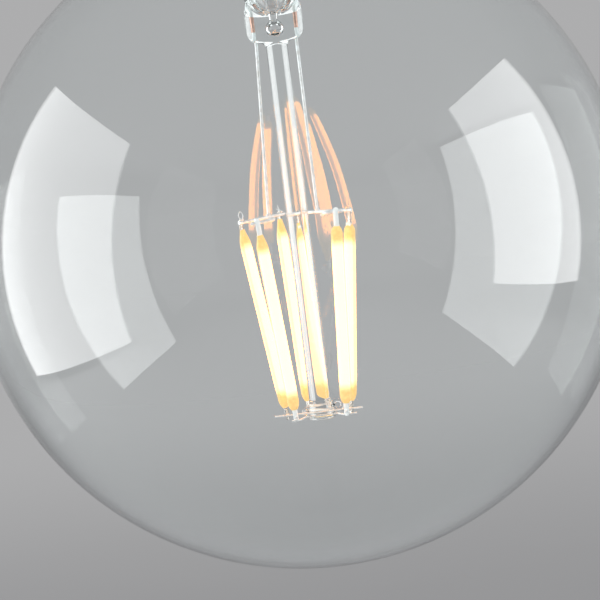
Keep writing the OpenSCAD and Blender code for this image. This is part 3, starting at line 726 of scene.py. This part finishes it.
def cap_shell():
    """Rolled cap of thin sheet: plain skirt, thread, shoulder and the lip that holds the insulator."""
    count = 120
    turns = [2 * pi * k / count for k in range(count)]
    shoulder = 1.4 * MM
    skirt_step = 1.1 * MM
    heights = [CAP_LOW, CAP_LOW + 0.1 * MM] + [CAP_LOW + k * skirt_step for k in range(1, 5)]
    steps = 76
    first = THREAD_LOW - 0.6 * MM
    last = LIP_Z - shoulder
    heights += [first + (last - first) * k / steps for k in range(steps + 1)]
    rings = []
    for inset in (0, SHEET):
        skin = []
        for z in heights:
            radii = [shell_r(t, z) - inset for t in turns]
            skin.append([Vector((cos(t) * r, sin(t) * r, z)) for t, r in zip(turns, radii)])
        top = arc(ROOT_R - shoulder, LIP_Z - shoulder, shoulder - inset, 10, 90, 8)
        for r, z in top + [(LIP_R, LIP_Z - inset)]:
            skin.append([Vector((cos(t) * r, sin(t) * r, z)) for t in turns])
        rings += skin if inset == 0 else skin[::-1]
    bm = bmesh.new()
    lofted(bm, rings + [rings[0]])
    outward(bm)
    plate = metal("cap_nickel", (0.74, 0.72, 0.68), (0.60, 0.57, 0.52), 0.16, wave=260.0)
    made_piece(bm, "cap_shell_rolled", plate, ["cap_shell"])
    return plate


def turned_piece(outline, name, material, nodes):
    """Piece of the cap spun from its outline, which is closed where it keeps clear of the axis."""
    bm = bmesh.new()
    turned(bm, outline, steps=96, closed=outline[0][0] > 0)
    outward(bm)
    made_piece(bm, name, material, nodes)


def cap_insulator():
    """Black glass cone between the lip and the contact, eased at its edges."""
    cone_r = LIP_R - 0.06 * MM
    # radii and heights from the contact's seat down the cone, in millimetres
    seat = [(0.96, -1.0), (5.5, -1.0), (5.9, -1.08), (6.25, -1.4), (6.45, -1.75),
            (9.7, -4.35), (10.1, -4.5), (10.3, -4.65)]
    outline = [(r * MM, z * MM) for r, z in seat]
    outline.append((cone_r, LIP_Z))
    outline.append((cone_r, LIP_Z - 0.36 * MM))
    # radii and heights from the lip, of the flange under it and the hollow inside, in millimetres
    inside = [(11.4, -0.36), (11.4, -2), (9.2, -2), (9.2, -1), (6.2, 1.2),
              (4.8, 1.6), (2.6, 0.6), (2.6, -2), (0.96, -2)]
    outline += [(r * MM, LIP_Z + z * MM) for r, z in inside]
    glaze = moulded("cap_black_glass", (0.02, 0.02, 0.022), (0.012, 0.012, 0.016), 0.1, wave=500.0, coat=0.4)
    turned_piece(outline, "cap_insulator_glass", glaze, ["cap_insulator"])


def centre_contact(plate):
    """Contact nail: flat tip, rolled edge, shank down through the insulator."""
    edge = 0.45 * MM
    seat_z = -1 * MM
    shank_r = 0.95 * MM
    point_r = 0.75 * MM
    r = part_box("centre_contact")[1].x
    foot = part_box("centre_contact")[0].z
    outline = [(0, 0), (r - 1.6 * MM, 0)] + arc(r - edge, -edge, edge, 90, -45, 8)
    outline += [(r - 0.3 * MM, seat_z), (shank_r, seat_z), (shank_r, foot + 0.2 * MM)]
    outline += [(point_r, foot), (0, foot)]
    turned_piece(outline, "centre_contact_nail", plate, ["centre_contact"])


def node_finishes():
    """Finishes of the wires, carriers and driver parts, which keep their CAD shape; gives the wires' own."""
    nickel = metal("wire_nickel", (0.88, 0.90, 0.92), (0.66, 0.65, 0.64), 0.38, wave=1100.0, share=0.3)
    copper = metal("seal_copper", (0.90, 0.58, 0.47), (0.68, 0.38, 0.29), 0.35, wave=1600.0)
    finishes = {
        nickel: [f"{wire}_{side}" for wire in ("inner_lead", "outer_lead", "bus_wire", "front_arm")
                 for side in ("left", "right")] + ["series_wire_1", "series_wire_2", "series_wire_3"],
        copper: ["seal_wire_left", "seal_wire_right"],
        moulded("strip_ceramic", (0.88, 0.87, 0.84), (0.78, 0.76, 0.72), 0.5):
            [f"filament_strip_{number}" for number in STRIPS],
        moulded("sleeve_fibre", (0.86, 0.84, 0.78), (0.72, 0.68, 0.58), 0.6, wave=2600.0):
            ["sleeve_left", "sleeve_right"],
        moulded("cement", (0.78, 0.73, 0.62), (0.58, 0.53, 0.43), 0.85, wave=1800.0, grain=0.2 * MM):
            ["cap_cement"],
        metal("solder", (0.62, 0.62, 0.62), (0.42, 0.42, 0.43), 0.38, wave=1500.0): ["side_solder"],
        moulded("board", (0.04, 0.20, 0.09), (0.03, 0.14, 0.06), 0.35, wave=2200.0, coat=0.3):
            ["driver_board"],
        moulded("chip_black", (0.035, 0.035, 0.037), (0.02, 0.02, 0.022), 0.55):
            ["bridge_rectifier", "driver_chip"],
        moulded("capacitor_can", (0.09, 0.11, 0.16), (0.06, 0.07, 0.11), 0.3): ["smoothing_capacitor"],
        moulded("fuse_ceramic", (0.60, 0.50, 0.34), (0.48, 0.39, 0.26), 0.5): ["fuse_resistor"],
        moulded("chip_brown", (0.34, 0.24, 0.16), (0.24, 0.17, 0.11), 0.5): ["chip_parts"],
        moulded("wire_red", (0.55, 0.05, 0.04), (0.40, 0.03, 0.03), 0.4): ["live_wire"],
        moulded("wire_blue", (0.06, 0.16, 0.50), (0.04, 0.10, 0.36), 0.4): ["neutral_wire"],
    }
    for finish, nodes in finishes.items():
        for node in nodes:
            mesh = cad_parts[node].data
            mesh.materials.clear()
            mesh.materials.append(finish)
    return nickel


# Studio

# Colour in which the surroundings are seen
PALE = (0.42, 0.42, 0.425)
FLOOR_Z = GLOBE_Z - 0.3
FLOOR_R = 8
FLOOR_LIT_TO = 0.5
FLOOR_FADED_AT = 1.8
# Degrees by which the photo looks down on the lamp, and by which the lamp leans in it
PHOTO_TILT = 6.3
PHOTO_ROLL = 7.0
CAMERA_AWAY = 0.5
# Width of the picture at the globe, and how far the globe's centre is above its middle
FRAME_WIDTH = 0.1132
CENTRE_ABOVE = 0.0121
SENSOR = 36
BOX_AWAY = 0.65
BOX_RADIANCE = 2.7
# Each softbox: its turn from +X in degrees, its lower and upper edge from the globe's centre, its width
SOFTBOXES = {"softbox_left": (180, -0.28, 0.49, 0.66), "softbox_right": (-6, -0.21, 0.44, 0.48)}
CARD_AWAY = 0.6
CARD_TURNS = {"stem_card_left": 128, "stem_card_right": 52}
# Width, height and radiance of the cards at the sides and of the one over the globe
CARD_SIDE = (0.44, 0.6, 0.9)
CARD_HIGH = (1.2, 0.7, 1.3)


def seen_backdrop(tree):
    """1 for rays that see the backdrop by eye, in a reflection or through glass."""
    path = add(tree, "LightPath")
    first = add(tree, "Math", {0: path.outputs["Is Camera Ray"], 1: path.outputs["Is Glossy Ray"]},
                operation="MAXIMUM").outputs[0]
    through = path.outputs["Is Transmission Ray"]
    return add(tree, "Math", {0: first, 1: through}, operation="MAXIMUM").outputs[0]


def backdrop():
    """Pale surroundings, with the light that they give kept apart from the colour that is seen."""
    world = bpy.data.worlds.new("backdrop")
    world.use_nodes = True
    scene.world = world
    tree = world.node_tree
    tree.nodes.clear()
    out = tree.nodes.new("ShaderNodeOutputWorld")
    room = add(tree, "Background", {"Color": (0.5, 0.5, 0.51, 1), "Strength": 1.0})
    seen = add(tree, "Background", {"Color": (*PALE, 1), "Strength": 1.0})
    mixed = add(tree, "MixShader", {0: seen_backdrop(tree), 1: room.outputs[0], 2: seen.outputs[0]})
    tree.links.new(mixed.outputs[0], out.inputs["Surface"])


def floor():
    """Round floor under the hanging lamp."""
    bm = bmesh.new()
    bmesh.ops.create_circle(bm, cap_ends=True, radius=FLOOR_R, segments=96)
    mesh = bpy.data.meshes.new("floor")
    bm.to_mesh(mesh)
    bm.free()
    mesh.materials.append(pale_floor())
    ground = bpy.data.objects.new("floor", mesh)
    ground.location = (0, 0, FLOOR_Z)
    scene.collection.objects.link(ground)


def panel(name, place, outwards, width, height, radiance, seen):
    """White sheet that faces the globe and shows only on or through glass, where seen(tree) is 1."""
    bm = bmesh.new()
    bmesh.ops.create_grid(bm, x_segments=1, y_segments=1, size=0.5)
    bmesh.ops.scale(bm, verts=bm.verts, vec=(width, height, 1))
    mesh = bpy.data.meshes.new(name)
    bm.to_mesh(mesh)
    bm.free()
    made, tree, out = new_material(name)
    made.cycles.emission_sampling = "NONE"
    clear = add(tree, "BsdfTransparent")
    shine = add(tree, "Emission", {"Color": (1, 1, 1, 1), "Strength": radiance})
    mixed = add(tree, "MixShader", {0: seen(tree), 1: clear.outputs[0], 2: shine.outputs[0]})
    tree.links.new(mixed.outputs[0], out.inputs["Surface"])
    mesh.materials.append(made)
    sheet = bpy.data.objects.new(name, mesh)
    sheet.location = place
    sheet.rotation_euler = outwards.to_track_quat("Z", "Y").to_euler()
    sheet.visible_camera = False
    sheet.visible_diffuse = False
    sheet.visible_glossy = False
    sheet.visible_shadow = False
    scene.collection.objects.link(sheet)


def after_mirror(tree):
    """1 after a reflection, so that a lamp isn't seen straight through the globe."""
    path = add(tree, "LightPath")
    return add(tree, "Math", {0: path.outputs["Glossy Depth"], 1: 0.5}, operation="GREATER_THAN").outputs[0]


def through_stem(tree):
    """1 for light through the globe's four faces and two of the stem, so the stem's hollows stay clear."""
    path = add(tree, "LightPath")
    bends = path.outputs["Transmission Depth"]
    faces = add(tree, "Math", {0: bends, 1: 6.0, 2: 0.5}, operation="COMPARE").outputs[0]
    plain = add(tree, "Math", {0: path.outputs["Glossy Depth"], 1: 0.5}, operation="LESS_THAN").outputs[0]
    return add(tree, "Math", {0: faces, 1: plain}, operation="MULTIPLY").outputs[0]


def softbox(name, turn, low, high, width):
    """Upright lamp that faces the globe, with a sheet that stands for its face in reflections."""
    data = bpy.data.lights.new(name, "AREA")
    data.shape = "RECTANGLE"
    data.size = width
    data.size_y = high - low
    data.energy = BOX_RADIANCE * pi * width * (high - low)
    box_light = bpy.data.objects.new(name, data)
    outwards = Vector((cos(turn), sin(turn), 0))
    place = outwards * BOX_AWAY + Vector((0, 0, GLOBE_Z + (low + high) / 2))
    box_light.location = place
    box_light.rotation_euler = outwards.to_track_quat("Z", "Y").to_euler()
    box_light.visible_camera = False
    box_light.visible_transmission = False
    scene.collection.objects.link(box_light)
    panel(name + "_face", place, outwards, width, high - low, BOX_RADIANCE, after_mirror)


def fill_lamp():
    """Wide soft lamp over the camera that lights matt surfaces and leaves no reflection of its own."""
    side = 0.7
    radiance = 3.1
    data = bpy.data.lights.new("fill", "AREA")
    data.shape = "RECTANGLE"
    data.size = side
    data.size_y = side
    data.energy = radiance * pi * side * side
    lamp = bpy.data.objects.new("fill", data)
    from_globe = Vector((0, -0.85, 0.35))
    lamp.location = from_globe + Vector((0, 0, GLOBE_Z))
    lamp.rotation_euler = from_globe.to_track_quat("Z", "Y").to_euler()
    lamp.visible_camera = False
    lamp.visible_glossy = False
    lamp.visible_transmission = False
    scene.collection.objects.link(lamp)


def stem_cards():
    """White cards round the globe that put bright edges on the stem's clear glass."""
    for name, turn in CARD_TURNS.items():
        outwards = Vector((cos(radians(turn)), sin(radians(turn)), 0))
        place = outwards * CARD_AWAY + Vector((0, 0, GLOBE_Z))
        panel(name, place, outwards, *CARD_SIDE, through_stem)
    above_and_behind = Vector((0, 0.42, GLOBE_Z + 0.35))
    panel("stem_card_high", above_and_behind, Vector((0, 0, 1)), *CARD_HIGH, through_stem)


def studio():
    """Backdrop, floor and lamps."""
    backdrop()
    floor()
    fill_lamp()
    for name, (turn, low, high, width) in SOFTBOXES.items():
        softbox(name, radians(turn), low, high, width)
    stem_cards()


def camera():
    """At the photo's viewing angle: a little above the globe, and rolled as the lamp hangs in the photo."""
    tilt = radians(PHOTO_TILT)
    roll = radians(PHOTO_ROLL)
    forward = Vector((0, cos(tilt), -sin(tilt)))
    level_up = Vector((0, sin(tilt), cos(tilt)))
    level_right = Vector((1, 0, 0))
    up = level_up * cos(roll) + level_right * sin(roll)
    right = level_right * cos(roll) - level_up * sin(roll)
    data = bpy.data.cameras.new("camera")
    data.sensor_width = SENSOR
    data.lens = SENSOR * CAMERA_AWAY / FRAME_WIDTH
    data.clip_start = 0.01
    data.clip_end = 50
    eye = bpy.data.objects.new("camera", data)
    aim = Vector((0, 0, GLOBE_Z)) - up * CENTRE_ABOVE
    turn = Matrix((right, up, -forward)).transposed()
    eye.matrix_world = Matrix.Translation(aim - forward * CAMERA_AWAY) @ turn.to_4x4()
    scene.collection.objects.link(eye)
    scene.camera = eye


scene.view_settings.view_transform = "Standard"
camera()
studio()
globe_glass()
stem_glass()
light_strips()
plate = cap_shell()
cap_insulator()
centre_contact(plate)
wire_nickel = node_finishes()
welds(wire_nickel)
